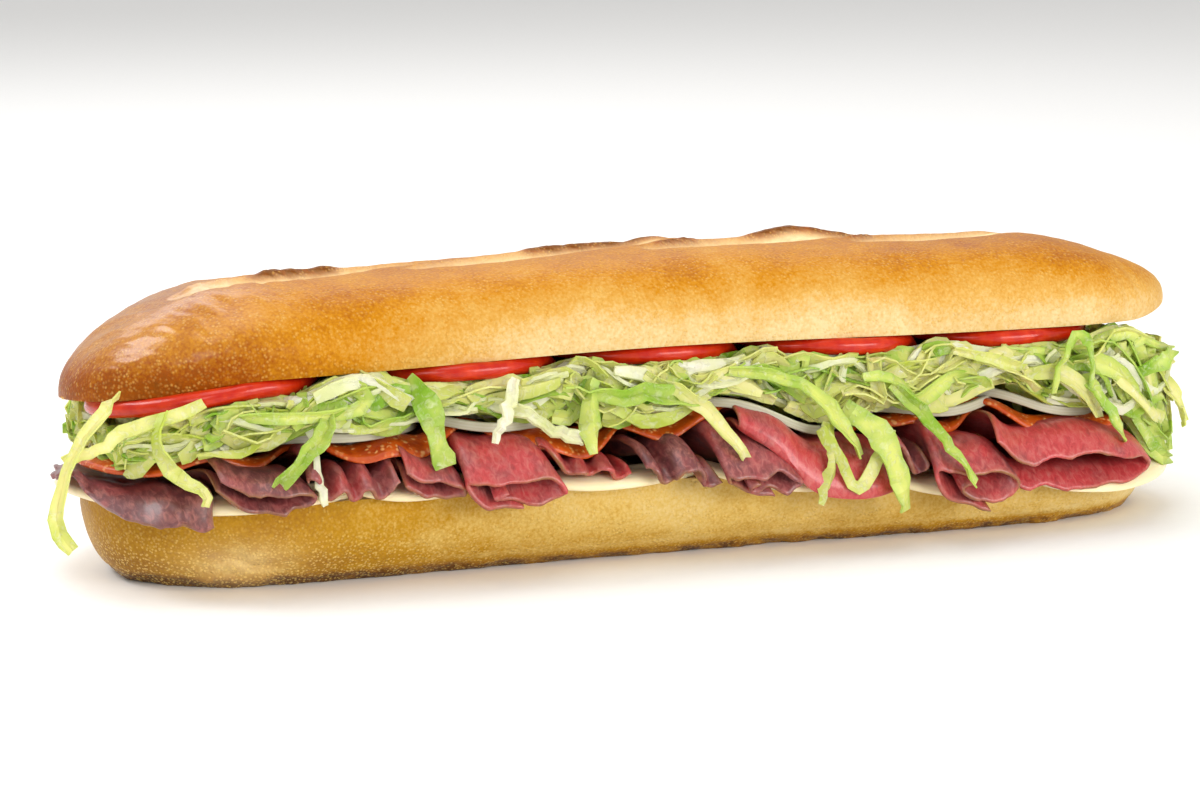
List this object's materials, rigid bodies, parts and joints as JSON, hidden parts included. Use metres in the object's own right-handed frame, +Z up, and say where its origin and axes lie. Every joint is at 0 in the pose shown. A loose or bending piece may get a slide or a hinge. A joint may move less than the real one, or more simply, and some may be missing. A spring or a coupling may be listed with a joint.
{
  "type": "submarine sandwich",
  "caption": "Foot-long Italian roll, split right through and filled with round cheese slices, folded roast beef, pepperoni, onion, shredded lettuce and tomato slices.",
  "frame": {"origin": "middle of the box's base, on the surface that the sandwich stands on", "axes": "+X along the roll, towards the end where the heel is cut thin; -Y towards the side where the fillings show most; +Z up"},
  "size_m": [0.3126, 0.1012, 0.0785],
  "materials": {
    "crust": "golden-brown baked crust, slightly glossy, with pale scored bands and cut faces of cream crumb",
    "cheese": "smooth pale cream cheese, satin",
    "beef": "moist rosy-pink sliced beef with browned edges",
    "pepperoni": "oily orange-red sausage with fine pale fat flecks",
    "onion": "wet, half-clear white onion",
    "lettuce": "crisp shredded leaf, pale yellow-green with white ribs and green edges",
    "tomato": "wet red tomato with a glossy skin edge"
  },
  "bodies": {
    "root": {"cheese_1": "cheese", "cheese_2": "cheese", "cheese_3": "cheese", "cheese_4": "cheese", "cheese_5": "cheese", "cheese_6": "cheese", "crown": "crust", "heel": "crust", "lettuce": "lettuce", "onion_1": "onion", "onion_2": "onion", "onion_3": "onion", "onion_4": "onion", "onion_5": "onion", "onion_6": "onion", "pepperoni_1": "pepperoni", "pepperoni_2": "pepperoni", "pepperoni_3": "pepperoni", "pepperoni_4": "pepperoni", "pepperoni_5": "pepperoni", "pepperoni_6": "pepperoni", "pepperoni_7": "pepperoni", "roast_beef_01": "beef", "roast_beef_02": "beef", "roast_beef_03": "beef", "roast_beef_04": "beef", "roast_beef_05": "beef", "roast_beef_06": "beef", "roast_beef_07": "beef", "roast_beef_08": "beef", "roast_beef_09": "beef", "roast_beef_10": "beef", "roast_beef_11": "beef", "roast_beef_12": "beef", "tomato_1": "tomato", "tomato_2": "tomato", "tomato_3": "tomato", "tomato_4": "tomato", "tomato_5": "tomato"}
  },
  "joints": []
}
